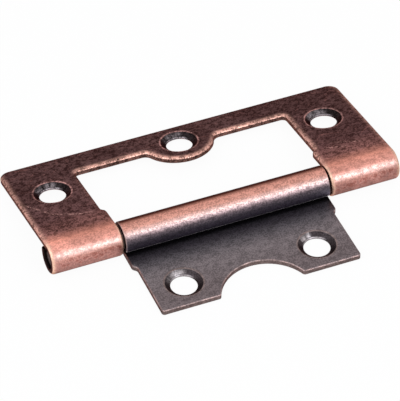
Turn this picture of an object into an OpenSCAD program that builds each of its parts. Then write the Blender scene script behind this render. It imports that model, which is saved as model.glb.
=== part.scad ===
// Flush hinge: a centre leaf that folds flush into the window of a frame leaf.
// It lies open as in the photograph: the centre leaf flat on the table, the
// frame leaf sloping down from the top of the barrel to its far edge.
// X runs along the pin, Y from the centre leaf to the frame leaf, Z up from the table.

/* [Hinge] */
// Length of the frame leaf and of the barrel, along the pin
hinge_l = 76.2; // [70:0.1:90]
// Thickness of the sheet both leaves are stamped from
sheet_t = 1.25; // [1.05:0.05:1.4]
// Outer diameter of the rolled barrel
barrel_d = 6.8; // [6.4:0.1:7.6]
// Diameter of the pin
pin_d = 4.4; // [4:0.1:4.6]
// Running clearance of the centre knuckle round the pin, on radius
pin_play = 0.05; // [0.02:0.01:0.09]
// How far each end of the pin lies inside the barrel
pin_recess = 0.6; // [0.2:0.1:1.5]
// Gap between neighbouring knuckles
knuckle_gap = 0.42; // [0.2:0.02:0.8]
// Angle of the open seam where each rolled sheet stops short of its leaf
seam_angle = 66; // [58:1:75]

/* [Frame leaf] */
// From the pin's axis to the far edge
frame_d = 29.45; // [26:0.05:33]
// Radius of the two far corners
frame_corner_r = 2.4; // [1.5:0.1:4]
// Width of the bar behind the window
bar_w = 6.75; // [5.5:0.05:8]
// Radius of the window's far corners
window_corner_r = 1; // [0.7:0.1:1.5]
// Length of each end knuckle, and width of the leg that it is rolled from
knuckle_l = 15.3; // [14:0.1:18]
// Where the window's shoulders begin, from the pin's axis
throat_d = 6; // [5:0.1:8]
// How far a shoulder steps sideways, on either leaf
shoulder_step = 0.84; // [0.76:0.04:1.2]

/* [Screw tab in the window] */
// Radius of the round tab
tab_r = 7.7; // [6.6:0.1:8]
// From the far edge to the centre of the tab's round edge
tab_in = 4.85; // [4.2:0.05:5.6]
// Radius of the fillets that join the tab to the window's far wall
tab_fillet_r = 1.8; // [1.2:0.1:2.5]

/* [Centre leaf] */
// Gap between the free edge and the window's far wall when the hinge is shut
shut_gap = 2.2; // [1.5:0.05:3]
// Radius of the two free corners
centre_corner_r = 0.6; // [0.4:0.1:2]
// Where the centre leaf's shoulders begin, from the pin's axis
neck_d = 5.8; // [5:0.1:8]
// How much larger than the tab the round cut-out that clears it is, on radius
notch_gap = 1.8; // [1.5:0.05:2.5]
// How far in front of the tab's centre the cut-out's centre lies when shut
notch_lead = 0.95; // [0.5:0.05:1.3]

/* [Screw holes] */
// Diameter of the plain part of each screw hole
hole_d = 5.5; // [4.5:0.1:6]
// Diameter of the countersink at the surface
sink_d = 7.8; // [7:0.1:8.4]
// Depth of the countersink
sink_depth = 0.9; // [0.5:0.05:1]
// From each end of the frame leaf to its outer hole
end_hole_in = 7.8; // [6:0.1:9]
// From the far edge of the frame leaf to its outer holes
end_hole_back = 11.95; // [9:0.05:14]
// How far in front of the tab's centre its hole lies
tab_hole_lead = 1.2; // [0.5:0.1:2]
// How far inside the middle of its cheek each centre leaf hole lies
cheek_hole_shift = 0.75; // [0:0.05:1.5]
// From the free edge of the centre leaf to its holes
cheek_hole_in = 6.1; // [5.5:0.05:8]

/* [Rounded edges] */
// Radius of the rubbed-down edges on the frame leaf's face
ease_r = 0.7; // [0.5:0.05:0.9]
// How far down the side the rubbed-down edge reaches
ease_drop = 0.4; // [0.2:0.05:0.45]
// Radius of the lighter rounding on the centre leaf
soft_r = 0.25; // [0.2:0.05:0.4]
// Chamfer on the pin's ends
pin_chamfer = 0.25; // [0.1:0.05:0.5]

/* [Hidden] */
$fn = 72;
slop = 0.5;
// How far an edge rounding runs past the face it rounds, and past its own ends.
clear = 0.2;
lap = 0.05;
// Straight roundings are this much shallower than outward ones, and inward ones
// twice as much, so that neighbours overlap cleanly.
hair = 0.01;
// Angle at which a rounding leaves the flat.
lead_angle = 8;
// The tab and its fillets overlap by this much, so that they meet at a clean point.
kiss = 0.003;
half_l = hinge_l / 2;
barrel_r = barrel_d / 2;
pin_r = pin_d / 2;
under_w = barrel_r - sheet_t;
throat_x = half_l - knuckle_l;
window_x = throat_x + shoulder_step;
neck_x = throat_x - knuckle_gap;
centre_x = neck_x - shoulder_step;
window_d = frame_d - bar_w;
tab_d = frame_d - tab_in;
// The centre leaf follows the window that it lies in when the hinge is shut.
centre_d = window_d - shut_gap;
notch_r = tab_r + notch_gap;
notch_d = tab_d - notch_lead;
notch_x = sqrt(notch_r * notch_r - (notch_d - centre_d) * (notch_d - centre_d));
soft_drop = soft_r - 0.05;
// A shoulder is two equal arcs, each turning through the 3-4-5 angle.
shoulder_r = shoulder_step / 0.8;
shoulder_l = 1.6 * shoulder_r;
shoulder_turn = acos(0.6);
hole_r = hole_d / 2;
sink_r = sink_d / 2;
end_hole = [half_l - end_hole_in, frame_d - end_hole_back];
tab_hole = [0, tab_d - tab_hole_lead];
cheek_hole = [(notch_x + centre_x) / 2 - cheek_hole_shift, centre_d - cheek_hole_in];

// The frame leaf tips back until its far lower edge meets the table.
tilt = asin(barrel_r / norm([frame_d, under_w])) + atan2(under_w, frame_d);
// How far the frame leaf reaches behind the pin; the origin halves the whole depth.
back_y = frame_d * cos(tilt) + (barrel_r - ease_drop) * sin(tilt);
axis_y = (centre_d - back_y) / 2;

// How far in from the side an edge rounding starts.
function ease_span(r, drop) = r * sin(lead_angle) + sqrt(r * r - pow(r * cos(lead_angle) - drop, 2));

// Section of a leaf across the pin: the flat sheet, tangent to the top of the
// barrel, rolls over the front and stops under itself at the seam.
module leaf_section(depth, bore_r) {
    far = 2 * barrel_r;
    difference() {
        union() {
            difference() {
                circle(r = barrel_r);
                polygon([[0, 0], [0, under_w], [far, under_w],
                         [far * sin(seam_angle), far * cos(seam_angle)]]);
            }
            translate([0, under_w]) square([depth, sheet_t]);
        }
        circle(r = bore_r);
    }
}

// A section standing across the pin, drawn out along it.
module along_pin(half) {
    translate([-half, 0, 0]) rotate([90, 0, 90]) linear_extrude(2 * half) children();
}

// A plan drawn straight up through the whole leaf.
module through() {
    translate([0, 0, -2 * barrel_r]) linear_extrude(4 * barrel_r) children();
}

// What is cut from one top edge: the corner outside a rounding of radius r
// that reaches "drop" down the side, where it leaves a ledge one hair wide.
// The side face is at x = 0, the top at y = 0.
module ease_section(r, drop) {
    span = ease_span(r, drop) + hair;
    difference() {
        translate([-span, -drop]) square([span + clear, drop + clear]);
        translate([r * sin(lead_angle) - span, -r * cos(lead_angle)]) circle(r = r);
    }
}

// Rounding along a straight edge from p to q, with the open side on the left.
module ease_line(p, q, r, drop) {
    run = q - p;
    translate([p.x, p.y, hair]) rotate([0, 0, atan2(run.y, run.x)]) translate([-lap, 0, 0])
        rotate([90, 0, 90]) linear_extrude(norm(run) + 2 * lap) ease_section(r, drop);
}

// Rounding round an outward corner: centre c, from angle a through "turn".
module ease_corner(c, corner_r, a, turn, r, drop) {
    translate([c.x, c.y, 0]) rotate([0, 0, a]) rotate_extrude(angle = turn)
        translate([corner_r, 0]) ease_section(r, drop);
}

// The same round an inward corner, whose centre is in the open.
module ease_hollow(c, corner_r, a, turn, r, drop) {
    past = 2;
    translate([c.x, c.y, 2 * hair]) rotate([0, 0, a - past]) rotate_extrude(angle = turn + 2 * past)
        translate([corner_r, 0]) mirror([1, 0]) ease_section(r, drop);
}

// Rounding round the end of a knuckle at x, over the rolled part only.
module ease_knuckle(x, outward, r, drop) {
    translate([x, 0, 0]) mirror([outward < 0 ? 1 : 0, 0, 0])
        rotate([-180, 0, 0]) rotate([0, 90, 0]) rotate_extrude(angle = 361 - seam_angle)
            translate([barrel_r, 0]) mirror([1, -1]) ease_section(r, drop);
}

// A countersunk screw hole down from the surface z = 0.
module screw_hole(p) {
    flare = (sink_r - hole_r) / sink_depth;
    translate([p.x, p.y, -sheet_t - slop]) cylinder(r = hole_r, h = sheet_t + 2 * slop);
    translate([p.x, p.y, -sink_depth])
        cylinder(r1 = hole_r, r2 = sink_r + flare * slop, h = sink_depth + slop);
}

// Both sides of the hinge.
module both_sides() {
    children();
    mirror([1, 0, 0]) children();
}

// Window of the frame leaf, on one side of the middle.
module half_window_plan() {
    wide_y = throat_d + shoulder_l;
    translate([0, -2 * barrel_r]) square([throat_x, throat_d + 2 * barrel_r]);
    difference() {
        union() {
            translate([0, throat_d]) square([throat_x + shoulder_step / 2, shoulder_l]);
            translate([window_x - shoulder_r, wide_y]) circle(r = shoulder_r);
        }
        translate([throat_x + shoulder_r, throat_d]) circle(r = shoulder_r);
    }
    translate([0, wide_y]) square([window_x, window_d - window_corner_r - wide_y]);
    square([window_x - window_corner_r, window_d]);
    translate([window_x - window_corner_r, window_d - window_corner_r])
        circle(r = window_corner_r);
}

// Where a fillet of the tab is centred, beside the middle.
tab_reach = tab_r + tab_fillet_r - kiss;
tab_rise = tab_d - window_d + tab_fillet_r;
tab_fillet = [sqrt(tab_reach * tab_reach - tab_rise * tab_rise), window_d - tab_fillet_r];
// Angle below the horizontal at which the tab's round edge meets a fillet.
tab_meet = atan2(tab_d - tab_fillet.y, tab_fillet.x);

// The screw tab that stands into the window, with its two fillets.
module tab_plan() {
    meet_y = tab_d - tab_r * sin(tab_meet);
    translate([0, tab_d]) circle(r = tab_r);
    difference() {
        translate([-tab_fillet.x, meet_y]) square([2 * tab_fillet.x, window_d + slop - meet_y]);
        for (side = [-1, 1])
            translate([side * tab_fillet.x, tab_fillet.y]) circle(r = tab_fillet_r);
    }
}

// Every rounded edge of the frame leaf's face, at z = 0.
module frame_easing() {
    wide_y = throat_d + shoulder_l;
    cx = half_l - frame_corner_r;
    cy = frame_d - frame_corner_r;
    ease_line([-cx, frame_d], [cx, frame_d], ease_r, ease_drop);
    both_sides() {
        ease_line([half_l, cy], [half_l, 0], ease_r, ease_drop);
        ease_corner([cx, cy], frame_corner_r, 0, 90, ease_r, ease_drop);
        ease_line([throat_x, 0], [throat_x, throat_d], ease_r, ease_drop);
        ease_corner([throat_x + shoulder_r, throat_d], shoulder_r,
                    180 - shoulder_turn, shoulder_turn, ease_r, ease_drop);
        ease_hollow([window_x - shoulder_r, wide_y], shoulder_r,
                    -shoulder_turn, shoulder_turn, ease_r, ease_drop);
        ease_line([window_x, wide_y], [window_x, window_d - window_corner_r],
                  ease_r, ease_drop);
        ease_hollow([window_x - window_corner_r, window_d - window_corner_r],
                    window_corner_r, 0, 90, ease_r, ease_drop);
        ease_line([window_x - window_corner_r, window_d], [tab_fillet.x, window_d],
                  ease_r, ease_drop);
        ease_hollow(tab_fillet, tab_fillet_r, 90, 90 - tab_meet, ease_r, ease_drop);
    }
    ease_corner([0, tab_d], tab_r, 180 + tab_meet, 180 - 2 * tab_meet, ease_r, ease_drop);
}

// Frame leaf in its own plane: pin along X, sheet on the +Y side, top at barrel_r.
module frame_leaf_flat() {
    difference() {
        along_pin(half_l) leaf_section(frame_d, pin_r);
        through() {
            difference() {
                union() {
                    half_window_plan();
                    mirror([1, 0]) half_window_plan();
                }
                tab_plan();
            }
        }
        through() for (side = [0, 1]) mirror([side, 0]) difference() {
            translate([half_l - frame_corner_r, frame_d - frame_corner_r])
                square(frame_corner_r + slop);
            translate([half_l - frame_corner_r, frame_d - frame_corner_r])
                circle(r = frame_corner_r);
        }
        translate([0, 0, barrel_r]) {
            frame_easing();
            screw_hole([-end_hole.x, end_hole.y]);
            screw_hole(tab_hole);
            screw_hole(end_hole);
        }
        both_sides() {
            ease_knuckle(half_l, 1, ease_r, ease_drop);
            ease_knuckle(throat_x, -1, ease_r, ease_drop);
        }
    }
}

// Plan cut away beside the centre leaf, on one side.
module beside_centre_plan() {
    wide_y = neck_d + shoulder_l;
    corner = [centre_x - centre_corner_r, centre_d - centre_corner_r];
    difference() {
        translate([0, neck_d]) square([neck_x + slop, centre_d + slop - neck_d]);
        translate([0, neck_d]) square([centre_x + shoulder_step / 2, shoulder_l]);
        translate([neck_x - shoulder_r, neck_d]) circle(r = shoulder_r);
        square([centre_x, corner.y]);
        square([corner.x, centre_d]);
        translate(corner) circle(r = centre_corner_r);
    }
    intersection() {
        translate([centre_x + shoulder_r, wide_y]) circle(r = shoulder_r);
        translate([centre_x, neck_d]) square([shoulder_step, shoulder_l]);
    }
}

// Every rounded edge of the centre leaf's face, at z = 0.
module centre_easing() {
    wide_y = neck_d + shoulder_l;
    corner = [centre_x - centre_corner_r, centre_d - centre_corner_r];
    notch_a = asin((notch_d - centre_d) / notch_r);
    ease_hollow([0, notch_d], notch_r, 180 + notch_a, 180 - 2 * notch_a, soft_r, soft_drop);
    both_sides() {
        ease_line([notch_x - soft_r, centre_d], [corner.x, centre_d], soft_r, soft_drop);
        ease_corner(corner, centre_corner_r, 0, 90, soft_r, soft_drop);
        ease_line([centre_x, corner.y], [centre_x, wide_y], soft_r, soft_drop);
        ease_hollow([centre_x + shoulder_r, wide_y], shoulder_r, 180, shoulder_turn,
                    soft_r, soft_drop);
        ease_corner([neck_x - shoulder_r, neck_d], shoulder_r, 0, shoulder_turn,
                    soft_r, soft_drop);
        ease_line([neck_x, neck_d], [neck_x, barrel_r], soft_r, soft_drop);
    }
}

// Centre leaf in its own plane: pin along X, sheet on the +Y side, face at -under_w.
module centre_leaf_flat() {
    difference() {
        along_pin(neck_x) mirror([0, 1]) leaf_section(centre_d, pin_r + pin_play);
        through() {
            beside_centre_plan();
            mirror([1, 0]) beside_centre_plan();
            translate([0, notch_d]) circle(r = notch_r);
        }
        both_sides() mirror([0, 0, 1]) ease_knuckle(neck_x, 1, soft_r, soft_drop);
        translate([0, 0, -under_w]) {
            centre_easing();
            screw_hole([-cheek_hole.x, cheek_hole.y]);
            screw_hole(cheek_hole);
        }
    }
}

module frame_leaf() {
    color([0.36, 0.25, 0.24])
        translate([0, axis_y, barrel_r]) rotate([-tilt, 0, 0]) frame_leaf_flat();
}

module centre_leaf() {
    color([0.42, 0.38, 0.38])
        translate([0, axis_y, barrel_r]) rotate([0, 0, 180]) centre_leaf_flat();
}

module hinge_pin() {
    pin_l = hinge_l - 2 * pin_recess;
    color([0.3, 0.24, 0.23])
        translate([-pin_l / 2, axis_y, barrel_r]) rotate([0, 90, 0]) {
            cylinder(r1 = pin_r - pin_chamfer, r2 = pin_r, h = pin_chamfer);
            translate([0, 0, pin_chamfer]) cylinder(r = pin_r, h = pin_l - 2 * pin_chamfer);
            translate([0, 0, pin_l - pin_chamfer])
                cylinder(r1 = pin_r, r2 = pin_r - pin_chamfer, h = pin_chamfer);
        }
}

frame_leaf();
centre_leaf();
hinge_pin();
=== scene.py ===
# %% [markdown]
# # A flush hinge in antique copper
# The hinge lies open, as it comes out of its bag: the centre leaf flat on the table, the
# frame leaf leaning back from the top of the barrel to its far edge. The frame, loaded
# first, holds the measured solids of the three pieces. Each visible piece is a finer
# surface of the same size that takes its solid's place.

# %% Load the frame
import math

import bpy
import numpy as np
from mathutils import Matrix, Vector
from mathutils.geometry import delaunay_2d_cdt


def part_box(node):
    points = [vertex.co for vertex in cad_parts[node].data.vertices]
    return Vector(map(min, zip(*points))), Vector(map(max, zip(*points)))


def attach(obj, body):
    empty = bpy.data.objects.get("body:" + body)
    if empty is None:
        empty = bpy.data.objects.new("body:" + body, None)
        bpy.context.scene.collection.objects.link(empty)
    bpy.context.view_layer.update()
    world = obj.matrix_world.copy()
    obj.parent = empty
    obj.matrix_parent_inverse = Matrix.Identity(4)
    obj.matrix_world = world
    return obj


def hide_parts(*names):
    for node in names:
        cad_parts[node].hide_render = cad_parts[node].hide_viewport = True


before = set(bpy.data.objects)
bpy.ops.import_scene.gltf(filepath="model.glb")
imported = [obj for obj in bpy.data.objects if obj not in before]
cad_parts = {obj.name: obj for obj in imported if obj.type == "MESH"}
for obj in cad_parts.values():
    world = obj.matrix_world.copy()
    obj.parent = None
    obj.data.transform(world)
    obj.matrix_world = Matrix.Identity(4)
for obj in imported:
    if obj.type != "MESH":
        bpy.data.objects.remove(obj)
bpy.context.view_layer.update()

# %% [markdown]
# ## Sizes
# All lengths are millimetres here, because that is how the hinge is measured, and are
# turned into metres when a mesh is made. They are the sizes that the solids were made with.
# The frame leaf leans: its sheet starts at the top of the barrel and its far edge touches the
# table, so the tilt follows from the barrel's radius and the leaf's depth. Depths are measured
# from the pin's axis along the sheet, and x from the middle of the hinge.

# %% Sizes of the hinge
MM = 0.001

# The barrel, its open seam and the pin in it
BARREL_R = 3.4
SHEET = 1.25
SEAM_ANGLE = 66
PIN_R = 2.2
PIN_HALF = 37.5

# The frame leaf, its window and the throat where the window narrows beside the barrel
HALF_L = 38.1
FRAME_D = 29.45
WINDOW_D = 22.7
THROAT_X = 22.8
THROAT_D = 6.0

# The round screw tab that stands into the window
TAB = (0.0, 24.6)
TAB_R = 7.7
TAB_FILLET_R = 1.8

# The centre leaf, its neck beside the barrel and the cut-out that clears the tab
CENTRE_D = 20.5
NECK_X = 22.38
NECK_D = 5.8
NOTCH = (0.0, 23.65)
NOTCH_R = 9.5

# A shoulder steps sideways by two equal arcs, one way and back, each turning by the same angle
STEP_X = 0.84
SHOULDER_COS, SHOULDER_SIN = 0.6, 0.8
SHOULDER_R = STEP_X / (2 * (1 - SHOULDER_COS))
SHOULDER_L = 2 * SHOULDER_SIN * SHOULDER_R
SHOULDER_TURN = math.degrees(math.acos(SHOULDER_COS))

# The drilled holes and their countersinks
HOLE_R = 2.75
SINK_R = 3.9
SINK_DEPTH = 0.9

low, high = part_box("hinge_pin")
AXIS_Y = (low.y + high.y) / 2 / MM
AXIS_Z = (low.z + high.z) / 2 / MM
UNDER_W = BARREL_R - SHEET
TILT = math.asin(BARREL_R / math.hypot(FRAME_D, UNDER_W)) + math.atan2(UNDER_W, FRAME_D)
ROLL = math.radians(360 - SEAM_ANGLE)
ROLL_L = ROLL * BARREL_R
print(f"pin axis at y {AXIS_Y:.3f}, z {AXIS_Z:.3f} mm; frame leaf leans {math.degrees(TILT):.2f} degrees")

# %% [markdown]
# ## Outlines of the flat blanks
# The real leaves are stamped flat and rolled afterwards, so they are drawn flat here too.
# x runs along the pin and s along the sheet: s is positive on the flat leaf, 0 where the
# leaf touches the barrel, and negative on the strip that is rolled round the pin. An outline
# could be a curve object with handles, but runs of lines and arcs keep every radius exact.

# %% Lines and arcs of an outline
ROLL_STEPS = 61


def arc(centre, r, start, end, step=0.16):
    """Points on a circle about centre, from one angle to another in degrees, about step apart."""
    count = max(4, int(abs(math.radians(end - start)) * r / step) + 1)
    a = np.radians(np.linspace(start, end, count))
    return np.column_stack([centre[0] + r * np.cos(a), centre[1] + r * np.sin(a)])


def line(p, q, step=0.4):
    """Evenly spaced points from p to q."""
    count = max(2, int(math.dist(p, q) / step) + 1)
    t = np.linspace(0, 1, count)[:, None]
    return (1 - t) * np.array(p) + t * np.array(q)


def rolled(x, down):
    """Points along the rolled strip's edge at x, one every five degrees of the roll."""
    s = np.linspace(-ROLL_L, 0, ROLL_STEPS)
    s = s[::-1] if down else s
    return np.column_stack([np.full_like(s, x), s])


def closed(*runs):
    """The runs joined into one loop, without the points that repeat where two runs meet."""
    points = np.concatenate(runs)
    gap = np.linalg.norm(points - np.roll(points, 1, axis=0), axis=1)
    return points[gap > 1e-4]


def flipped(points):
    """The same run on the other side of the middle, in the other direction."""
    return (points * [-1, 1])[::-1]


print("a quarter circle of radius 1 mm takes", len(arc((0, 0), 1, 0, 90)), "points")

# %% Outline of the frame leaf
WINDOW_CORNER_R = 1
FAR_CORNER_R = 2.4
far_x, far_y = HALF_L - FAR_CORNER_R, FRAME_D - FAR_CORNER_R
wide_y = THROAT_D + SHOULDER_L
window_x = THROAT_X + STEP_X
fillet_x = math.sqrt((TAB_R + TAB_FILLET_R) ** 2 - (TAB[1] - WINDOW_D + TAB_FILLET_R) ** 2)
fillet_y = WINDOW_D - TAB_FILLET_R
meet = math.degrees(math.atan2(TAB[1] - fillet_y, fillet_x))

right_window = [
    arc((fillet_x, fillet_y), TAB_FILLET_R, 180 - meet, 90),
    line((fillet_x, WINDOW_D), (window_x - WINDOW_CORNER_R, WINDOW_D)),
    arc((window_x - WINDOW_CORNER_R, WINDOW_D - WINDOW_CORNER_R), WINDOW_CORNER_R, 90, 0),
    line((window_x, WINDOW_D - WINDOW_CORNER_R), (window_x, wide_y)),
    arc((window_x - SHOULDER_R, wide_y), SHOULDER_R, 0, -SHOULDER_TURN),
    arc((THROAT_X + SHOULDER_R, THROAT_D), SHOULDER_R, 180 - SHOULDER_TURN, 180),
    line((THROAT_X, THROAT_D), (THROAT_X, 0)),
    rolled(THROAT_X, True),
    line((THROAT_X, -ROLL_L), (HALF_L, -ROLL_L)),
    rolled(HALF_L, False),
    line((HALF_L, 0), (HALF_L, far_y)),
    arc((far_x, far_y), FAR_CORNER_R, 0, 90),
    line((far_x, FRAME_D), (0, FRAME_D)),
]
frame_outline = closed(
    arc(TAB, TAB_R, 270, 360 - meet), *right_window,
    *[flipped(run) for run in right_window[::-1]], arc(TAB, TAB_R, 180 + meet, 270))
print("frame leaf outline:", len(frame_outline), "points")

# %% [markdown]
# The centre leaf is cut from the same strip. Its cut-out clears the screw tab when the hinge is
# shut. Where the cut-out meets the free edge it leaves two sharp tips, which tumbling rounds:
# a small arc that touches both the edge and the cut-out takes their place.

# %% Outline of the centre leaf
CORNER_R = 0.6
TIP_R = 0.5
neck_y = NECK_D + SHOULDER_L
side_x = NECK_X - STEP_X
tip_y = CENTRE_D - TIP_R
tip_x = math.sqrt((NOTCH_R + TIP_R) ** 2 - (NOTCH[1] - tip_y) ** 2)
notch_a = math.degrees(math.atan2(NOTCH[1] - tip_y, tip_x))

right_centre = [
    line((0, -ROLL_L), (NECK_X, -ROLL_L)),
    rolled(NECK_X, False),
    line((NECK_X, 0), (NECK_X, NECK_D)),
    arc((NECK_X - SHOULDER_R, NECK_D), SHOULDER_R, 0, SHOULDER_TURN),
    arc((side_x + SHOULDER_R, neck_y), SHOULDER_R, 180 + SHOULDER_TURN, 180),
    line((side_x, neck_y), (side_x, CENTRE_D - CORNER_R)),
    arc((side_x - CORNER_R, CENTRE_D - CORNER_R), CORNER_R, 0, 90),
    line((side_x - CORNER_R, CENTRE_D), (tip_x, CENTRE_D)),
    arc((tip_x, tip_y), TIP_R, 90, 180 - notch_a),
    arc(NOTCH, NOTCH_R, 360 - notch_a, 270),
]
centre_outline = closed(*right_centre, *[flipped(run) for run in right_centre[::-1]])
print("centre leaf outline:", len(centre_outline), "points")

# %% [markdown]
# ## A sheet that is rounded at its cut edges
# Each side of a leaf is a sheet of points. Its depth below the face depends on one thing
# only, the distance to the nearest cut edge, so one rule gives the rubbed-down edges along
# every straight, corner, shoulder and tab. The points stand in rings beside the edges,
# where the surface curves, and further apart on the flat. The Bevel modifier could round the
# edges too, but it wants clean strips of faces beside them, and the small arcs of the shoulders
# leave little room for those.

# %% Distances and the edge profile
BATCH = 2000


def segments(loops):
    """Start and end of every straight piece of the loops."""
    ends = [np.roll(loop, -1, axis=0) for loop in loops]
    return np.concatenate(loops), np.concatenate(ends)


def nearest_edge(points, loops):
    """Distance from each point to the nearest piece of the loops, and the way that piece faces.

    The distance goes to the point's foot on the piece, or to an end. The metal lies on the
    left of a loop, so a piece that runs along (x, y) faces (y, -x).
    """
    a, b = segments(loops)
    run = b - a
    faces = np.column_stack([run[:, 1], -run[:, 0]]) / np.linalg.norm(run, axis=1)[:, None]
    out = np.empty(len(points))
    way = np.empty((len(points), 2))
    for i in range(0, len(points), BATCH):
        p = points[i:i + BATCH, None, :]
        t = np.clip(((p - a) * run).sum(2) / (run ** 2).sum(1), 0, 1)
        gap = np.linalg.norm(p - a - t[..., None] * run, axis=2)
        out[i:i + BATCH] = gap.min(1)
        way[i:i + BATCH] = faces[gap.argmin(1)]
    return out, way


def edge_distance(points, loops):
    """Distance from each point to the nearest piece of the loops."""
    return nearest_edge(points, loops)[0]


def inside(points, loops):
    """True where a line towards +x crosses the loops an odd number of times."""
    a, b = segments(loops)
    out = np.empty(len(points), bool)
    for i in range(0, len(points), BATCH):
        x, y = points[i:i + BATCH, :1], points[i:i + BATCH, 1:]
        spans = (a[:, 1] > y) != (b[:, 1] > y)
        rise = np.where(b[:, 1] == a[:, 1], 1, b[:, 1] - a[:, 1])
        crossing = a[:, 0] + (y - a[:, 1]) * (b[:, 0] - a[:, 0]) / rise
        out[i:i + BATCH] = (spans & (x < crossing)).sum(1) % 2
    return out


def rounding_width(r, drop):
    """How far in from the side a rounding starts: the root of r squared less (r - drop) squared."""
    return math.sqrt(r * r - (r - drop) ** 2)


def rounding(d, r, drop):
    """Depth at distance d from the edge: r minus the root of r squared less (width - d) squared.

    It is an arc of radius r that touches the face at the rounding's width from the edge and is
    drop deep at the edge.
    """
    return r - np.sqrt(r * r - np.clip(rounding_width(r, drop) - d, 0, None) ** 2)


# Radius and drop of the rounding on the face and on the back of each leaf
FRAME_FACE, FRAME_BACK = (0.7, 0.42), (0.12, 0.12)
CENTRE_FACE, CENTRE_BACK = (0.25, 0.2), (0.2, 0.15)
print(f"the frame leaf's worn edge is {rounding_width(*FRAME_FACE):.2f} mm wide")

# %% Points and triangles of one side of a leaf
LEFT, RIGHT = -37.5, 38
ROLL_GRID, FLAT_GRID_X, FLAT_GRID_S, STAGGER = 1.0, 1.25, 1.1, 0.6
RING_ROOM = 0.3
OWN_EDGE = 0.985


def side_points(outline, holes, rings):
    """The loops, and their points with rings beside them, rows on the roll and a grid on the flat.

    A ring's point stays only where its own edge is the nearest one, so rings don't cross in a
    corner. The share OWN_EDGE of the ring's distance allows for the loop's straight pieces.
    """
    loops = [outline, *holes]
    beside = []
    for loop in loops:
        along = np.roll(loop, -1, axis=0) - np.roll(loop, 1, axis=0)
        inward = np.column_stack([-along[:, 1], along[:, 0]]) / np.linalg.norm(along, axis=1)[:, None]
        beside += [(loop + d * inward, np.full(len(loop), d)) for d in rings]
    near = np.concatenate([p for p, _ in beside])
    wanted = np.concatenate([d for _, d in beside])
    actual = edge_distance(near, loops)
    near = near[inside(near, loops) & (actual > OWN_EDGE * wanted)]
    rows = np.linspace(-ROLL_L, 0, ROLL_STEPS)[1:-1]
    on_roll = np.stack(np.meshgrid(np.arange(LEFT, RIGHT, ROLL_GRID), rows), -1).reshape(-1, 2)
    x, s = np.meshgrid(np.arange(LEFT, RIGHT, FLAT_GRID_X), np.arange(0, FRAME_D, FLAT_GRID_S))
    x[1::2] += STAGGER
    grid = np.concatenate([on_roll, np.column_stack([x.ravel(), s.ravel()])])
    grid = grid[inside(grid, loops)]
    grid = grid[edge_distance(grid, loops) > rings[-1] + RING_ROOM]
    return loops, np.concatenate([*loops, near, grid])


def side_triangles(loops, points):
    """Delaunay triangles of the points that keep the loops' edges, without those outside the sheet."""
    edges = []
    first = 0
    for loop in loops:
        i = np.arange(len(loop))
        edges += list(zip((first + i).tolist(), (first + np.roll(i, -1)).tolist()))
        first += len(loop)
    coords = [Vector(p) for p in points.tolist()]
    out, _, faces, origin, _, _ = delaunay_2d_cdt(coords, edges, [], 0, 1e-7)
    index = np.array([o[0] for o in origin])
    tri = index[np.array([f[:3] for f in faces])]
    a, b, c = (points[tri[:, k]] for k in range(3))
    turn = (b[:, 0] - a[:, 0]) * (c[:, 1] - a[:, 1]) - (b[:, 1] - a[:, 1]) * (c[:, 0] - a[:, 0])
    tri[turn < 0] = tri[turn < 0][:, ::-1]
    return tri[inside((a + b + c) / 3, loops) & (abs(turn) > 1e-9)]


print("points on the flat stand", FLAT_GRID_X, "by", FLAT_GRID_S, "mm apart")

# %% [markdown]
# ## Rolling the blank
# A press rolls the strip round the pin until it stops short of the flat, at an open seam. The
# Simple Deform modifier can bend a sheet too, but it bends all of it and stretches the face.
# The flat blank keeps its length along the outside of the roll: s millimetres of sheet
# cover an angle of s / radius. The face sinks by the depth from the outside, so the same
# function bends both sides of the sheet and the cut walls between them.

# %% From the blank to the rolled leaf


def roll_up(x, s, depth, bore_r):
    """The place of a point of the blank as (x, across the pin, above the pin's axis).

    For s > 0 the sheet runs straight on. For s < 0 it goes round the pin at radius r by an angle
    of -s / BARREL_R. r is BARREL_R less the depth, which is pinched so that the inner side lands
    on the bore.
    """
    pinch = (BARREL_R - bore_r) / SHEET
    r = BARREL_R - depth * np.where(s > 0, 1 - (1 - pinch) * np.clip(1 - s, 0, 1), pinch)
    a = np.clip(-s, 0, None) / BARREL_R
    return np.column_stack([x, np.where(s > 0, s, -r * np.sin(a)), np.where(s > 0, r, r * np.cos(a))])


def place_frame_leaf(p):
    """Leans the leaf back by TILT about the pin's axis."""
    y = AXIS_Y + p[:, 1] * math.cos(TILT) + p[:, 2] * math.sin(TILT)
    z = AXIS_Z - p[:, 1] * math.sin(TILT) + p[:, 2] * math.cos(TILT)
    return np.column_stack([p[:, 0], y, z])


def place_centre_leaf(p):
    """Turns the leaf over, so that it leaves the bottom of the barrel, and round to the front."""
    return np.column_stack([-p[:, 0], AXIS_Y - p[:, 1], AXIS_Z - p[:, 2]])


print(f"the strip round the pin is {ROLL_L:.2f} mm long and covers {math.degrees(ROLL):.0f} degrees")

# %% [markdown]
# ## From tables of points to a piece
# A leaf is one closed surface: two sides, and the walls between them at the cut edge and in the
# holes. It could be a solid box with holes cut by the Boolean modifier, but then nothing would
# know how far it is from an edge. Here each side and wall is a table with a row for each point.
# The distances in it shape the surface first, and are then kept on the mesh for the finish,
# because a tumbled hinge wears by the same rule: most at the edges and least on the flat.

# %% A mesh from whole arrays


def band(upper, lower):
    """Two triangles for each step between two loops of equal length, with the metal on the loop's left."""
    next_upper, next_lower = np.roll(upper, -1), np.roll(lower, -1)
    return np.concatenate([np.column_stack([upper, lower, next_lower]),
                           np.column_stack([upper, next_lower, next_upper])])


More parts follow.
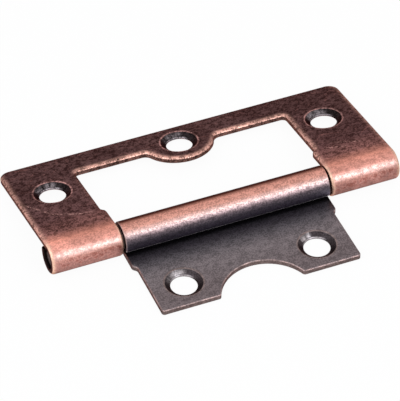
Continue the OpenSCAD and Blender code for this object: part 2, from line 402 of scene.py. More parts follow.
def new_piece(name, points_mm, faces, sharp=40):
    """A mesh object at the origin, smooth except where faces meet at more than sharp degrees."""
    mesh = bpy.data.meshes.new(name)
    mesh.from_pydata((points_mm * MM).tolist(), [], faces.tolist())
    mesh.polygons.foreach_set("use_smooth", np.ones(len(mesh.polygons), bool))
    mesh.set_sharp_from_angle(angle=math.radians(sharp))
    mesh.update()
    obj = bpy.data.objects.new(name, mesh)
    bpy.context.scene.collection.objects.link(obj)
    print(f"{name}: {len(mesh.vertices)} points, {len(mesh.polygons)} faces, valid {not mesh.validate()}")
    return obj


def give(obj, name, values):
    """Keeps one number per point on the mesh for the materials to read."""
    obj.data.attributes.new(name, "FLOAT", "POINT").data.foreach_set("value", values.astype(np.float32))


# %% One side of a leaf
RING_SHARES = np.array([0.05, 0.25, 0.52, 0.84])
FRONT_LEFT = np.array([-0.4, -0.9])


def facing(way, plan):
    """How far a way on the blank points to the front left. plan is -1 on a leaf that is turned over."""
    return way @ (plan * FRONT_LEFT)


def leaf_side(outline, holes, edge_round, hole_round, plan):
    """One side as a table (x, s, dip, edge, hole, front) and its triangles.

    dip is the depth below the side's flat: the deeper of the roundings at the cut edge and at the
    holes, each given as (radius, drop). edge and hole are the distances to them.
    """
    loops, points = side_points(outline, holes, rounding_width(*edge_round) * RING_SHARES)
    triangles = side_triangles(loops, points)
    edge, way = nearest_edge(points, [outline])
    hole = edge_distance(points, holes)
    dip = np.maximum(rounding(edge, *edge_round), rounding(hole, *hole_round))
    return np.column_stack([points, dip, edge, hole, facing(way, plan)]), triangles


print("points stand at these shares of the rounding's width:", RING_SHARES)

# %% The walls of the cut edge and the holes
HOLE_RIM = (0.3, 0.06)
FAR_AWAY = 9.0
SINK_ROWS = [(0.04, HOLE_RIM[1] + 0.03), (0.3, 0.3), (0.65, 0.6),
             (0.95, SINK_DEPTH - 0.04), (1, SINK_DEPTH + 0.03)]


def circle(centre, r, count=96):
    """A circle run clockwise, so that the metal lies on its left like the outline's."""
    a = np.linspace(0, -2 * math.pi, count, endpoint=False)
    return np.column_stack([centre[0] + r * np.cos(a), centre[1] + r * np.sin(a)])


def edge_ring(loop, depth, plan):
    """A row of points down the cut edge, in the columns of leaf_side's table."""
    way = nearest_edge(loop, [loop])[1]
    numbers = np.full((len(loop), 3), (depth, 0, FAR_AWAY), float)
    return np.column_stack([loop, numbers, facing(way, plan)])


def hole_ring(sink, drill, share, depth, plan):
    """A row of points down a countersink, part of the way in from its rim to the drilled hole."""
    way = nearest_edge(sink, [sink])[1]
    ring = (1 - share) * sink + share * drill
    numbers = np.full((len(sink), 3), (depth, FAR_AWAY, -depth), float)
    return np.column_stack([ring, numbers, facing(way, plan)])


print("rows down a countersink, as (share of the way in, depth in mm):", SINK_ROWS)

# %% A whole leaf


def leaf_mesh(name, outline, hole_centres, face_up, face_edge, back_edge, bore_r, place):
    """Joins two sides and the walls between them into one closed surface.

    face_up says that the countersunk face is the outside of the roll. face_edge and back_edge are
    the (radius, drop) of the rounding on each side's edges.
    """
    plan = 1 if face_up else -1
    sinks = [circle(c, SINK_R) for c in hole_centres]
    drills = [circle(c, HOLE_R) for c in hole_centres]
    face, face_triangles = leaf_side(outline, sinks, face_edge, HOLE_RIM, plan)
    back, back_triangles = leaf_side(outline, drills, back_edge, back_edge, plan)
    back[:, 2] = SHEET - back[:, 2]

    top = face_edge[1]
    edge_depths = [top + 0.05, top + 0.15, (top + SHEET) / 2, SHEET - back_edge[1] - 0.1]
    walls = [[edge_ring(outline, depth, plan) for depth in edge_depths]]
    for sink, drill in zip(sinks, drills):
        rows = SINK_ROWS + [(1, SHEET - back_edge[1] - 0.05)]
        walls.append([hole_ring(sink, drill, share, depth, plan) for share, depth in rows])

    tables = [face, back]
    faces = [face_triangles, back_triangles[:, ::-1] + len(face)]
    count = len(face) + len(back)
    upper, lower = 0, len(face)
    for wall in walls:
        ring = np.arange(len(wall[0]))
        last = upper + ring
        for row in wall:
            faces.append(band(last, count + ring))
            last = count + ring
            count += len(ring)
        faces.append(band(last, lower + ring))
        tables += wall
        upper += len(ring)
        lower += len(ring)

    x, s, depth, edge, hole, front = np.concatenate(tables).T
    faces = np.concatenate(faces)
    if not face_up:
        depth = SHEET - depth
        faces = faces[:, ::-1]
    obj = new_piece(name, place(roll_up(x, s, depth, bore_r)), faces)

    from_hole = np.column_stack([x, s])[:, None, :] - np.array(hole_centres)
    nearest = np.linalg.norm(from_hole, axis=2).argmin(1)
    way = plan * from_hole[np.arange(len(x)), nearest]
    way /= np.linalg.norm(way, axis=1)[:, None]
    kept = {"across_mm": x, "along_mm": s, "depth_mm": depth, "edge_mm": edge, "hole_mm": hole,
            "faces_front": front, "round_x": way[:, 0], "round_y": way[:, 1]}
    for key, values in kept.items():
        give(obj, key, values)
    return obj


# %% [markdown]
# ## The two leaves
# Both leaves come from the same function. The frame leaf's face has been rubbed down much more
# than the centre leaf's, which lies sheltered in the window while the hinges are tumbled. The
# frame leaf is pressed on the pin and the centre leaf runs on it with a little play. The
# pressed bore is drawn 0.01 mm larger than the pin, because two surfaces in exactly the same
# place flicker in a render.

# %% The two leaves
FRAME_HOLES = [(-30.3, 17.5), (0, 23.4), (30.3, 17.5)]
CENTRE_HOLES = [(-14.5, 14.4), (14.5, 14.4)]
PRESSED, RUNNING = 0.01, 0.05

frame_leaf = leaf_mesh("frame_leaf_plate", frame_outline, FRAME_HOLES, True,
                       FRAME_FACE, FRAME_BACK, PIN_R + PRESSED, place_frame_leaf)
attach(frame_leaf, "frame")
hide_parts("frame_leaf")

centre_leaf = leaf_mesh("centre_leaf_plate", centre_outline, CENTRE_HOLES, False,
                        CENTRE_FACE, CENTRE_BACK, PIN_R + RUNNING, place_centre_leaf)
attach(centre_leaf, "centre")
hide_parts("centre_leaf")

# %% [markdown]
# ## The pin
# The pin is a plain steel rod with rounded ends, pressed in the end knuckles a little short of
# their faces. A cylinder with the Bevel modifier would look much the same. It is turned from a
# profile instead, like on a lathe, because each step of its end then has its real size.

# %% The pin


def turned(name, profile, steps=72):
    """Turns (x, r) points about the pin's axis: y = r cos a, z = r sin a."""
    a = np.linspace(0, 2 * math.pi, steps, endpoint=False)
    x, r = np.array(profile).T
    y, z = AXIS_Y + r[:, None] * np.cos(a), AXIS_Z + r[:, None] * np.sin(a)
    ring = np.stack([np.repeat(x[:, None], len(a), 1), y, z], -1).reshape(-1, 3)
    index = np.arange(len(ring)).reshape(len(x), len(a))
    faces = np.concatenate([band(index[i], index[i + 1])[:, ::-1] for i in range(len(x) - 1)])
    ends = np.array([[x[0], AXIS_Y, AXIS_Z], [x[-1], AXIS_Y, AXIS_Z]])
    n = len(ring)
    first, last = index[0], index[-1]
    caps = [np.column_stack([first, np.full(len(a), n), np.roll(first, -1)]),
            np.column_stack([np.roll(last, -1), np.full(len(a), n + 1), last])]
    return new_piece(name, np.concatenate([ring, ends]), np.concatenate([faces, *caps]))


left_end = [(-PIN_HALF, 0.6), (-PIN_HALF, 1.4), (-PIN_HALF + 0.01, 1.85), (-PIN_HALF + 0.1, 2.08),
            (-PIN_HALF + 0.3, PIN_R)]
pin = turned("pin_rod", left_end + [(-x, r) for x, r in left_end[::-1]])
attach(pin, "frame")
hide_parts("hinge_pin")

# %% [markdown]
# ## Camera
# The camera stands where the photograph was taken from, worked out from the edges of the
# hinge: a long lens 0.64 m away, 43 degrees above the table and 23 degrees to the left, with a
# slight roll. It was worked out with the hinge taken as 76.0 mm long, 0.2 mm less than it was
# given later, which moves its ends in the picture by about half a pixel.

# %% Camera
CAMERA_AT = Vector((-0.18643, AXIS_Y * MM - 0.42701, 0.44057))
CAMERA_TURN, CAMERA_DOWN, CAMERA_ROLL = (math.radians(d) for d in (23.006, 43.019, 0.625))
LENS, SENSOR = 283.55, 36.0

level = math.cos(CAMERA_DOWN)
ahead = Vector((math.sin(CAMERA_TURN) * level, math.cos(CAMERA_TURN) * level, -math.sin(CAMERA_DOWN)))
right = ahead.cross(Vector((0, 0, 1))).normalized()
up = right.cross(ahead)
right, up = (math.cos(CAMERA_ROLL) * right + math.sin(CAMERA_ROLL) * up,
             math.cos(CAMERA_ROLL) * up - math.sin(CAMERA_ROLL) * right)
camera = bpy.data.objects.new("camera", bpy.data.cameras.new("camera"))
bpy.context.scene.collection.objects.link(camera)
camera.matrix_world = Matrix.Translation(CAMERA_AT) @ Matrix((right, up, -ahead)).transposed().to_4x4()
camera.data.lens = LENS
camera.data.sensor_width = SENSOR
camera.data.sensor_fit = "HORIZONTAL"
camera.data.clip_start = 0.01
bpy.context.scene.camera = camera
print("camera at", tuple(round(c, 4) for c in CAMERA_AT))

# %% [markdown]
# ## How the finish is built
# The real finish is copper plate that was blackened and then tumbled, so that the black is worn
# through wherever one hinge rubs another. A picture of it could be wrapped round the mesh, but
# it would blur close up. Here the colour of every point is worked out from the distances kept
# on the mesh and from noise, which gives grain at any size. First come the small tools for it.

# %% Colours, materials and wires


def srgb(r, g, b):
    """A colour given as it looks on a screen, 0 to 255, as the light that the shader works with."""
    c = np.array([r, g, b]) / 255
    c = np.where(c <= 0.04045, c / 12.92, ((c + 0.055) / 1.055) ** 2.4)
    return (*c.tolist(), 1.0)


def material(name):
    """A new node material, its tree and its shader."""
    mat = bpy.data.materials.new(name)
    mat.use_nodes = True
    return mat, mat.node_tree, mat.node_tree.nodes["Principled BSDF"]


def link(tree, out, inp):
    """Joins an output to an input, or sets the input to a plain number or colour."""
    if isinstance(out, bpy.types.NodeSocket):
        tree.links.new(out, inp)
    else:
        inp.default_value = out


print("bright copper as the shader sees it:", [round(c, 3) for c in srgb(226, 160, 145)[:3]])

# %% Numbers in a material


def math_node(tree, op, a, b=0.0, clamp=False):
    """One Math node; its result."""
    node = tree.nodes.new("ShaderNodeMath")
    node.operation = op
    node.use_clamp = clamp
    link(tree, a, node.inputs[0])
    link(tree, b, node.inputs[1])
    return node.outputs[0]


def times(tree, first, *others):
    """The numbers multiplied together."""
    for other in others:
        first = math_node(tree, "MULTIPLY", first, other)
    return first


def plus(tree, first, second, clamp=False):
    """The sum of two numbers."""
    return math_node(tree, "ADD", first, second, clamp)


def minus(tree, first, second):
    """The first number less the second."""
    return math_node(tree, "SUBTRACT", first, second)


def larger(tree, first, second):
    """The larger of two numbers."""
    return math_node(tree, "MAXIMUM", first, second)


def ramp(tree, value, low_in, high_in, low_out=0.0, high_out=1.0):
    """Smoothly maps value from one range to another and stops at the ends."""
    node = tree.nodes.new("ShaderNodeMapRange")
    node.interpolation_type = "SMOOTHSTEP"
    link(tree, value, node.inputs["Value"])
    ends = {"From Min": low_in, "From Max": high_in, "To Min": low_out, "To Max": high_out}
    for key, number in ends.items():
        link(tree, number, node.inputs[key])
    return node.outputs["Result"]


def attribute(tree, name):
    """The number kept on the mesh under this name."""
    node = tree.nodes.new("ShaderNodeAttribute")
    node.attribute_name = name
    return node.outputs["Fac"]


print("numbers kept on the leaves:", [a.name for a in frame_leaf.data.attributes if a.data_type == "FLOAT"])

# %% [markdown]
# Real plating is never even, and each kind of unevenness has its own size: a grain finer than
# half a millimetre, blotches of about a millimetre and clouds of several. Each is a Noise
# Texture on Object coordinates, so it stays fixed to the metal when the leaf swings. Scratches
# are the same noise drawn out very long, or a stroke between two chosen points.

# %% Noise and strokes
HAIR_WIDTH, HAIR_LENGTH = 0.3, 7.0


def noise(tree, size, detail=4.0, rough=0.6, stretch=(1, 1, 1), turn=0, shift=0):
    """Noise from 0 to 1 in lumps of about size millimetres.

    The lumps are stretched along the axes, after the pattern is turned by so many degrees in plan
    and shifted by so many millimetres.
    """
    place = tree.nodes.new("ShaderNodeTexCoord")
    turned_place = tree.nodes.new("ShaderNodeMapping")
    turned_place.inputs["Rotation"].default_value = (0, 0, math.radians(turn))
    turned_place.inputs["Location"].default_value = (shift * MM, 0, 0)
    scale = tree.nodes.new("ShaderNodeMapping")
    scale.inputs["Scale"].default_value = [1 / (MM * size * k) for k in stretch]
    node = tree.nodes.new("ShaderNodeTexNoise")
    node.inputs["Scale"].default_value = 1.0
    node.inputs["Detail"].default_value = detail
    node.inputs["Roughness"].default_value = rough
    tree.links.new(place.outputs["Object"], turned_place.inputs["Vector"])
    tree.links.new(turned_place.outputs["Vector"], scale.inputs["Vector"])
    tree.links.new(scale.outputs["Vector"], node.inputs["Vector"])
    return node.outputs["Fac"]


def mixed(tree, first, second, share):
    """One number from two: a share of the first and the rest of the second."""
    return plus(tree, times(tree, first, share), times(tree, second, 1 - share))


def shifted(tree, value, by, amount):
    """The value moved up or down by up to half the amount, where by is noise from 0 to 1."""
    return plus(tree, value, times(tree, minus(tree, by, 0.5), amount))


def hairlines(tree, turn, shift):
    """Sparse fine scratches that run at an angle in plan; 1 on a scratch and 0 beside it."""
    stretch = (HAIR_LENGTH, HAIR_WIDTH, HAIR_WIDTH)
    return ramp(tree, noise(tree, 1, 1.0, 0.5, stretch, turn, shift), 0.65, 0.78)


def scratch(tree, across, along, start, end, width):
    """1 on a straight stroke between two points of the blank, fading to 0 at width from it.

    The nearest point of the stroke lies the clamped share (p - start) . run / run . run along it.
    """
    run = np.array(end) - np.array(start)
    dx = minus(tree, across, start[0])
    ds = minus(tree, along, start[1])
    rate = run / (run @ run)
    share = plus(tree, times(tree, dx, rate[0]), times(tree, ds, rate[1]), clamp=True)
    off_x = minus(tree, dx, times(tree, share, run[0]))
    off_s = minus(tree, ds, times(tree, share, run[1]))
    gap = math_node(tree, "SQRT", plus(tree, times(tree, off_x, off_x), times(tree, off_s, off_s)))
    return ramp(tree, gap, width, 0.0)


print("a hairline is about", HAIR_WIDTH, "mm wide and", HAIR_LENGTH, "mm long")

# %% [markdown]
# The colour is painted in layers, as with thin coats: first the tones along the sheet, then the
# rubbed edges, walls and scratches over them, and the speckle's light and dark last.

# %% Colours along the sheet
BUMP_HEIGHT = 0.05


def blend_colour(tree, amount, first, second):
    """A colour between first (amount 0) and second (amount 1)."""
    node = tree.nodes.new("ShaderNodeMix")
    node.data_type = "RGBA"
    link(tree, amount, node.inputs["Factor"])
    link(tree, first, node.inputs["A"])
    link(tree, second, node.inputs["B"])
    return node.outputs["Result"]


def tones(tree, where, stops):
    """Colours along a distance, changing evenly between stops of (millimetres, screen colour)."""
    low_mm, high_mm = stops[0][0], stops[-1][0]
    node = tree.nodes.new("ShaderNodeValToRGB")
    bar = node.color_ramp.elements
    while len(bar) < len(stops):
        bar.new(0.5)
    for element, (mm, colour) in zip(bar, stops):
        element.position = (mm - low_mm) / (high_mm - low_mm)
        element.color = srgb(*colour)
    share = tree.nodes.new("ShaderNodeMapRange")
    link(tree, where, share.inputs["Value"])
    share.inputs["From Min"].default_value = low_mm
    share.inputs["From Max"].default_value = high_mm
    tree.links.new(share.outputs["Result"], node.inputs["Fac"])
    return node.outputs["Color"]


def shaded(tree, colour, by, dark, light):
    """The colour made darker or lighter: times dark where by is low and times light where it is high."""
    node = tree.nodes.new("ShaderNodeHueSaturation")
    link(tree, colour, node.inputs["Color"])
    link(tree, ramp(tree, by, 0.42, 0.58, dark, light), node.inputs["Value"])
    return node.outputs["Color"]


def plated_metal(tree, shader, colour, edge_tint, speckle, roughness, relief):
    """Wires up a plated metal whose roughness goes from the first to the second value with the speckle.

    edge_tint keeps the metal from turning white where it is seen at a flat angle, because the
    real plating is dull there. relief is the strength of the speckle's bump.
    """
    link(tree, colour, shader.inputs["Base Color"])
    shader.inputs["Metallic"].default_value = 1.0
    shader.inputs["Specular Tint"].default_value = edge_tint
    shader.inputs["Coat Weight"].default_value = 0.05
    shader.inputs["Coat Roughness"].default_value = 0.3
    link(tree, ramp(tree, speckle, 0.35, 0.65, *roughness), shader.inputs["Roughness"])
    bump = tree.nodes.new("ShaderNodeBump")
    bump.inputs["Strength"].default_value = relief
    bump.inputs["Distance"].default_value = BUMP_HEIGHT * MM
    link(tree, speckle, bump.inputs["Height"])
    link(tree, bump.outputs["Normal"], shader.inputs["Normal"])


print("the plating's bump is", BUMP_HEIGHT, "mm high at full strength")

# %% [markdown]
# ## Countersinks
# Each hole is drilled and then countersunk after stamping. Its cone is smooth and drawn dark as
# painted shade, with faint radial tool marks that are painted as highlights on the far side and
# at the lower lip, and its rim is rubbed to a thin line.
# The cone could be a separate material slot, but a line of faces would show as its border, so
# the depth inside the hole picks the colour. The hole's number is the distance outside its
# rim, and minus the depth inside it.

# %% Paint for a countersink


def countersink(tree, colour, hole, rim_colour, dark, bright):
    """Paints the rim, the cone dark as painted shade, and painted highlights on tool marks on the cone's
    far side and at its lower lip.
    """
    rim = times(tree, ramp(tree, hole, 0.42, 0.15), ramp(tree, hole, -0.1, -0.02))
    colour = blend_colour(tree, rim, colour, rim_colour)

    round_x, round_y = attribute(tree, "round_x"), attribute(tree, "round_y")
    around = tree.nodes.new("ShaderNodeCombineXYZ")
    link(tree, round_x, around.inputs["X"])
    link(tree, round_y, around.inputs["Y"])
    # The place along the hinge gives each hole its own marks.
    link(tree, times(tree, attribute(tree, "across_mm"), 0.04), around.inputs["Z"])
    tool_marks = tree.nodes.new("ShaderNodeTexNoise")
    tool_marks.inputs["Scale"].default_value = 2.2
    tool_marks.inputs["Detail"].default_value = 2.0
    tree.links.new(around.outputs["Vector"], tool_marks.inputs["Vector"])

    # Painted highlight: the tool marks on the cone's far side and its lower lip are drawn bright.
    lit_far_side = ramp(tree, minus(tree, round_y, times(tree, round_x, 0.25)), 0.6, 1.08)
    marks = ramp(tree, tool_marks.outputs["Fac"], 0.36, 0.58)
    upper, lower = ramp(tree, hole, -0.15, -0.5, 0.45, 1.0), ramp(tree, hole, -0.76, -0.62, 0.25, 1.0)
    lip = times(tree, ramp(tree, hole, -0.7, -0.84), ramp(tree, round_y, 0.3, 0.9), 0.8)
    shine = larger(tree, times(tree, lit_far_side, marks, upper, lower), lip)
    cone = blend_colour(tree, shine, dark, bright)
    return blend_colour(tree, ramp(tree, hole, -0.05, -0.12), colour, cone)


print(f"a countersink is {2 * SINK_R} mm wide, {SINK_DEPTH} mm deep, over a {2 * HOLE_R} mm hole")

# %% [markdown]
# ## Antique copper of the frame leaf
# The frame leaf is dark brown on its flat and bright copper on the barrel, and the change
# between them is ragged. One run of colours along s does both. Speckle moves the place in that
# run back and forth, so the border breaks up by itself instead of looking airbrushed.

# %% Copper: what the finish reads
mat, tree, shader = material("rubbed_copper")
along, across = attribute(tree, "along_mm"), attribute(tree, "across_mm")
edge, hole = attribute(tree, "edge_mm"), attribute(tree, "hole_mm")
depth, front = attribute(tree, "depth_mm"), attribute(tree, "faces_front")
coarse, fine = noise(tree, 0.85, 3, 0.65, (1.3, 1, 1)), noise(tree, 0.32, 2)
cloud = noise(tree, 7, 2, 0.5)
speckle = mixed(tree, coarse, fine, 0.5)
print("rubbed_copper reads", sum(node.type == "ATTRIBUTE" for node in tree.nodes), "numbers of the mesh")

# %% Copper: from the flat over the barrel
# The pale stop at s = -3.5 is a painted highlight: the soft band along the barrel is drawn pale into the
# bare copper. From s = -4.6 on, the run darkens towards the barrel's underside.
FRAME_TONES_WITH_HIGHLIGHT = [
    (-12, (74, 51, 50)), (-8, (158, 124, 119)), (-5.2, (190, 134, 125)), (-4.6, (198, 142, 131)),
    (-3.5, (218, 178, 170)), (-2.4, (224, 158, 144)), (0, (228, 156, 138)), (1.5, (176, 120, 108)),
    (3.2, (120, 83, 79)), (8, (84, 60, 60)), (14, (82, 60, 60)), (26, (73, 54, 54))]

ragged = times(tree, ramp(tree, along, -0.5, 4), 4.0)
colour = tones(tree, shifted(tree, along, speckle, ragged), FRAME_TONES_WITH_HIGHLIGHT)
under_barrel = times(tree, ramp(tree, along, -4.0, -4.8), ramp(tree, along, -7.5, -5.5))
mottle = times(tree, ramp(tree, coarse, 0.48, 0.6), under_barrel, 0.85)
colour = blend_colour(tree, mottle, colour, srgb(140, 84, 74))
print("frame leaf tones:", len(FRAME_TONES_WITH_HIGHLIGHT), "from s", FRAME_TONES_WITH_HIGHLIGHT[0][0], "to", FRAME_TONES_WITH_HIGHLIGHT[-1][0])

# %% [markdown]
# Edges that stick out are rubbed bare in the tumbler. The band is widest and brightest where an
# edge faces the front left of the photograph, which comes from how each edge faces on the blank:
# that part is painted light, with edges that face the light drawn bright and those turned away
# left dark. The cut walls of the flat keep their dark skin, while the walls on the barrel are
# painted shade. The ends of the knuckles have a pale ring, partly worn copper and partly a
# painted highlight.

# %% Copper: rubbed edges, cut walls and knuckle ends
BARE_AND_LIT_COPPER, WORN_RIM_HIGHLIGHT = srgb(222, 170, 155), srgb(240, 196, 172)
FLAT_WALL, BARREL_WALL_SHADE = srgb(100, 71, 65), srgb(40, 30, 29)
RUB_WIDTH = 1.35

# Painted light over the wear: edges that face the front left are drawn brighter, and the last two
# millimetres at the right end get part of the band too.
lit_facing_and_right_end = larger(tree, ramp(tree, front, -0.75, 1.25), ramp(tree, across, 35, 37, 0.0, 0.4))
rubbed_and_lit = times(tree, ramp(tree, shifted(tree, edge, speckle, 1.8), RUB_WIDTH, 0.0), lit_facing_and_right_end)
colour = blend_colour(tree, rubbed_and_lit, colour, BARE_AND_LIT_COPPER)
# The walls on the barrel, at the knuckles' ends and in the gaps between them, are drawn near black: painted
# shade.
wall = blend_colour(tree, ramp(tree, along, 0.5, -0.5), FLAT_WALL, BARREL_WALL_SHADE)
colour = blend_colour(tree, ramp(tree, depth, 0.25, 0.45), colour, wall)
# The pale ring at the knuckles' ends is partly worn copper and partly a painted highlight on their rounded
# edge.
near_end = ramp(tree, shifted(tree, edge, speckle, 2.4), 0.75, 0.2)
ring = times(tree, near_end, ramp(tree, along, 1.5, -0.5), ramp(tree, depth, 0.4, 0.25))
colour = blend_colour(tree, ring, colour, WORN_RIM_HIGHLIGHT)
print("copper rubbed bare up to", RUB_WIDTH, "mm from an edge")

# %% [markdown]
# The photograph shows a few marks that can be told apart: a bent crease on the left leg, two
# short ones on the right leg and a dark pit beside the tab. Each is a stroke between two points
# of the blank, broken up by the fine noise. Fainter hairlines lie all over the flat.

# %% Copper: scratches and the pit
CREASES = [((-37.2, 15.5), (-33, 9.5), 0.5), ((-33, 9.5), (-28, 7.3), 0.55),
           ((-28, 7.3), (-25.3, 7.0), 0.35), ((27.5, 8.2), (33, 5.7), 0.4), ((26.2, 6.4), (29.8, 5.4), 0.4)]
PIT = ((-13.9, 22.95), (-13.7, 22.95))
FAINT_LINE, CREASE_LINE, PIT_BLACK = srgb(135, 92, 87), srgb(175, 135, 128), srgb(28, 16, 16)

hairline = larger(tree, hairlines(tree, 12, 0), hairlines(tree, -35, 40))
colour = blend_colour(tree, times(tree, hairline, ramp(tree, along, 2, 6), 0.5), colour, FAINT_LINE)
wavy = shifted(tree, along, coarse, 1.2)
broken = ramp(tree, fine, 0.4, 0.6, 0.25, 1.0)
for start, end, strength in CREASES:
    stroke = times(tree, scratch(tree, across, wavy, start, end, 0.3), broken, strength)
    colour = blend_colour(tree, stroke, colour, CREASE_LINE)
colour = blend_colour(tree, scratch(tree, across, along, *PIT, 0.32), colour, PIT_BLACK)
print("strokes of the creases:", len(CREASES))

# %% [markdown]
# The countersinks come after the wear, which would paint over them otherwise. The speckle then
# darkens and lightens the whole colour, much more on the blackened flat than on the rubbed
# barrel. A roughness between 0.4 and 0.48 spreads the lamps into a broad soft band along the
# barrel, over the highlight already painted into the tones, and a slight bump breaks the band up.

# %% Copper: countersinks, speckle and shine
# The cone's dark colour is painted shade and its bright colour a painted highlight.
COPPER_RIM, BLACK_CONE_SHADE, CONE_SHINE = srgb(150, 112, 108), srgb(34, 28, 29), srgb(140, 130, 134)

colour = countersink(tree, colour, hole, COPPER_RIM, BLACK_CONE_SHADE, CONE_SHINE)
flat = ramp(tree, along, 0.0, 4.0)
colour = shaded(tree, colour, speckle, ramp(tree, flat, 0, 1, 0.76, 0.4), ramp(tree, flat, 0, 1, 1.17, 1.6))
colour = shaded(tree, colour, cloud, 0.85, 1.15)
plated_metal(tree, shader, colour, srgb(200, 165, 160), speckle, (0.48, 0.4), 0.12)
frame_leaf.data.materials.append(mat)
print("rubbed_copper:", len(tree.nodes), "nodes")

# %% [markdown]
# ## Smoked copper of the centre leaf
# The centre leaf lies in the window while the hinges are tumbled, so it has kept its smoky grey
# almost everywhere. Only the top of the middle knuckle is worn to copper, with a painted
# highlight as a pale band where the copper ends, and its edges show a thin broken line. A dark
# band just behind the copper is a painted reflection, and the flat and the barrel darken as
# painted shade where they meet. The same tools make it, with another run of colours. On this
# leaf, turned over, the copper lies between s = -9.6 and s = -14.

# %% Smoked copper: what the finish reads
mat, tree, shader = material("smoked_copper")
along, edge, hole = attribute(tree, "along_mm"), attribute(tree, "edge_mm"), attribute(tree, "hole_mm")
depth, front = attribute(tree, "depth_mm"), attribute(tree, "faces_front")
speckle = mixed(tree, noise(tree, 0.85, 3, 0.65, (1.6, 1, 1)), noise(tree, 0.3, 2), 0.4)
worn = noise(tree, 1.3, 3)
print("smoked_copper reads", sum(node.type == "ATTRIBUTE" for node in tree.nodes), "numbers of the mesh")

# %% Smoked copper: from the seam over the barrel to the flat
# Painted light in this run: the pale stop at s = -13.0 is a painted highlight, the dark stop at -9.6 is a
# painted reflection, and the dark stops from -5 to 3 are painted shade where the flat meets the barrel.
# Below the highlight the run turns dark grey.
CENTRE_TONES_WITH_LIGHT_AND_SHADE = [
    (-18, (96, 92, 106)), (-17, (104, 98, 112)), (-15.4, (80, 75, 84)), (-14.4, (94, 82, 88)),
    (-13.7, (170, 145, 147)), (-13.0, (218, 182, 176)), (-12, (212, 154, 140)), (-10.7, (204, 143, 128)),
    (-9.6, (84, 52, 44)), (-5, (50, 45, 50)), (3, (52, 49, 56)), (7, (96, 91, 96)),
    (10.5, (122, 113, 116)), (17, (112, 101, 103))]

colour = tones(tree, shifted(tree, along, speckle, 0.8), CENTRE_TONES_WITH_LIGHT_AND_SHADE)
print("centre leaf tones:", len(CENTRE_TONES_WITH_LIGHT_AND_SHADE), "from s", CENTRE_TONES_WITH_LIGHT_AND_SHADE[0][0], "to", CENTRE_TONES_WITH_LIGHT_AND_SHADE[-1][0])

# %% [markdown]
# Its edges are hardly rubbed, so the worn line is a quarter of a millimetre wide and comes and
# goes; it is brighter on edges that face the front left, which is painted light. The free edge
# of the rolled strip is drawn near white, a painted highlight: it shows as a fine line where the
# barrel ends above the flat.

# %% Smoked copper: edges, seam and cut walls
WORN_AND_LIT_LINE, SEAM_HIGHLIGHT, CUT_WALL = srgb(190, 162, 158), srgb(240, 236, 240), srgb(112, 96, 94)
LINE_WIDTH = 0.26

close = ramp(tree, shifted(tree, edge, speckle, 0.5), LINE_WIDTH, 0.0)
# Edges that face the front left are drawn brighter: painted light.
rubbed_and_lit = times(tree, close, ramp(tree, worn, 0.42, 0.58, 0.35, 1.0), ramp(tree, front, -1.0, 0.6, 0.2, 1.0))
colour = blend_colour(tree, rubbed_and_lit, colour, WORN_AND_LIT_LINE)
# Painted highlight: the free edge of the rolled strip is drawn near white.
colour = blend_colour(tree, ramp(tree, along, -16.95, -17.15), colour, SEAM_HIGHLIGHT)
wall = times(tree, ramp(tree, depth, 1.06, 0.96), ramp(tree, edge, 0.03, 0.01))
colour = blend_colour(tree, wall, colour, CUT_WALL)
print("a worn line", LINE_WIDTH, "mm wide along the edges")

# %% Smoked copper: countersinks, speckle and shine
# The cone's dark colour is painted shade and its bright colour a painted highlight.
SMOKY_RIM, GREY_CONE_SHADE, GREY_SHINE = srgb(128, 112, 110), srgb(60, 53, 55), srgb(175, 166, 168)

colour = countersink(tree, colour, hole, SMOKY_RIM, GREY_CONE_SHADE, GREY_SHINE)
smoky = larger(tree, ramp(tree, along, -15.0, -13.0, 1.0, 0.0), ramp(tree, along, -3, 0))
colour = shaded(tree, colour, speckle, 0.7, ramp(tree, smoky, 0, 1, 1.22, 1.28))
plated_metal(tree, shader, colour, srgb(165, 142, 140), speckle, (0.46, 0.4), 0.07)
centre_leaf.data.materials.append(mat)
print("smoked_copper:", len(tree.nodes), "nodes")

# %% [markdown]
# ## The pin's steel
# Only the pin's end shows, recessed in the barrel. It is bare steel with a brown film, so a
# mottled mix of two tones is enough.

# %% Steel
mat, tree, shader = material("pin_steel")
film = noise(tree, 0.8)
link(tree, blend_colour(tree, film, srgb(70, 58, 56), srgb(120, 98, 92)), shader.inputs["Base Color"])
shader.inputs["Metallic"].default_value = 0.9
link(tree, ramp(tree, film, 0.3, 0.7, 0.55, 0.4), shader.inputs["Roughness"])
pin.data.materials.append(mat)
print("pin_steel:", len(tree.nodes), "nodes")

# %% [markdown]
# ## Floor and light
# The photograph has a white ground with hardly any shadow. A white floor under strong lamps
# would do, but it would throw so much light up that the metal lost its depth. So the floor
# glows only for rays that come from the camera or from a mirror-like surface, and is plain pale
# paper for the rest, which keeps the hinge's soft shadow. The sky does the same. The
# floor lies a little below the table's level, so that it doesn't cut through the leaf on it.

# %% The floor
FLOOR_Z = -0.05 * MM
FLOOR_HALF = 3


def seen_directly(tree):
    """1 for the camera's rays and for mirrored or transmitted ones, 0 for the light they gather."""
    path = tree.nodes.new("ShaderNodeLightPath")
    mirrored = larger(tree, path.outputs["Is Glossy Ray"], path.outputs["Is Transmission Ray"])
    return larger(tree, path.outputs["Is Camera Ray"], mirrored)


corners = [(x * FLOOR_HALF, y * FLOOR_HALF, FLOOR_Z) for x, y in ((-1, -1), (1, -1), (1, 1), (-1, 1))]
floor_mesh = bpy.data.meshes.new("floor")
floor_mesh.from_pydata(corners, [], [(0, 1, 2, 3)])
floor = bpy.data.objects.new("floor", floor_mesh)
bpy.context.scene.collection.objects.link(floor)

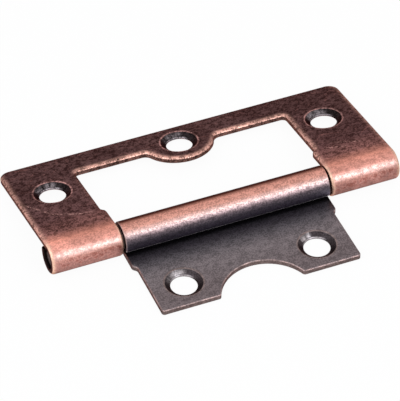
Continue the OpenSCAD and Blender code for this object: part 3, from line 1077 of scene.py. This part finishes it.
mat, tree, shader = material("pale_paper")
tree.nodes.remove(shader)
paper = tree.nodes.new("ShaderNodeBsdfDiffuse")
paper.inputs["Color"].default_value = (0.9, 0.9, 0.9, 1)
glow = tree.nodes.new("ShaderNodeEmission")
glow.inputs["Color"].default_value = (1, 1, 1, 1)
mix = tree.nodes.new("ShaderNodeMixShader")
link(tree, times(tree, seen_directly(tree), 0.95), mix.inputs["Fac"])
link(tree, paper.outputs[0], mix.inputs[1])
link(tree, glow.outputs[0], mix.inputs[2])
link(tree, mix.outputs[0], tree.nodes["Material Output"].inputs["Surface"])
floor_mesh.materials.append(mat)
print("floor", 2 * FLOOR_HALF, "m wide")

# %% [markdown]
# Metal shows what is around it, so most of its brightness here is the white sky and floor in it.
# Two soft boxes add the rest. The key from the front right makes the soft band along the barrel,
# over the highlight painted into the copper's colour, and the larger, weaker fill from the left
# only catches edges that face it, which are painted brighter as well. Both are slightly blue, so
# that the palest copper turns pink and not yellow, as it does in the photograph.

# %% The sky and the lamps
SKY_FILL, LAMP_COLOUR = 0.75, (0.86, 0.95, 1.0)

world = bpy.data.worlds.new("studio")
bpy.context.scene.world = world
world.use_nodes = True
tree = world.node_tree
sky = tree.nodes["Background"]
sky.inputs["Color"].default_value = (1, 1, 1, 1)
link(tree, plus(tree, SKY_FILL, times(tree, seen_directly(tree), 1 - SKY_FILL)), sky.inputs["Strength"])


def lamp(name, at, size, watts):
    """A square soft box that faces the hinge."""
    light = bpy.data.lights.new(name, "AREA")
    light.size = size
    light.energy = watts
    light.color = LAMP_COLOUR
    obj = bpy.data.objects.new(name, light)
    bpy.context.scene.collection.objects.link(obj)
    obj.location = at
    obj.rotation_euler = (-Vector(at)).to_track_quat("-Z", "Y").to_euler()
    print(f"{name}: {watts} W, {Vector(at).length:.2f} m away")


lamp("key", (0.26, -0.48, 0.46), 0.3, 1.15)
lamp("fill", (-0.5, -0.1, 0.5), 0.4, 1.0)
bpy.context.scene.view_settings.view_transform = "Standard"
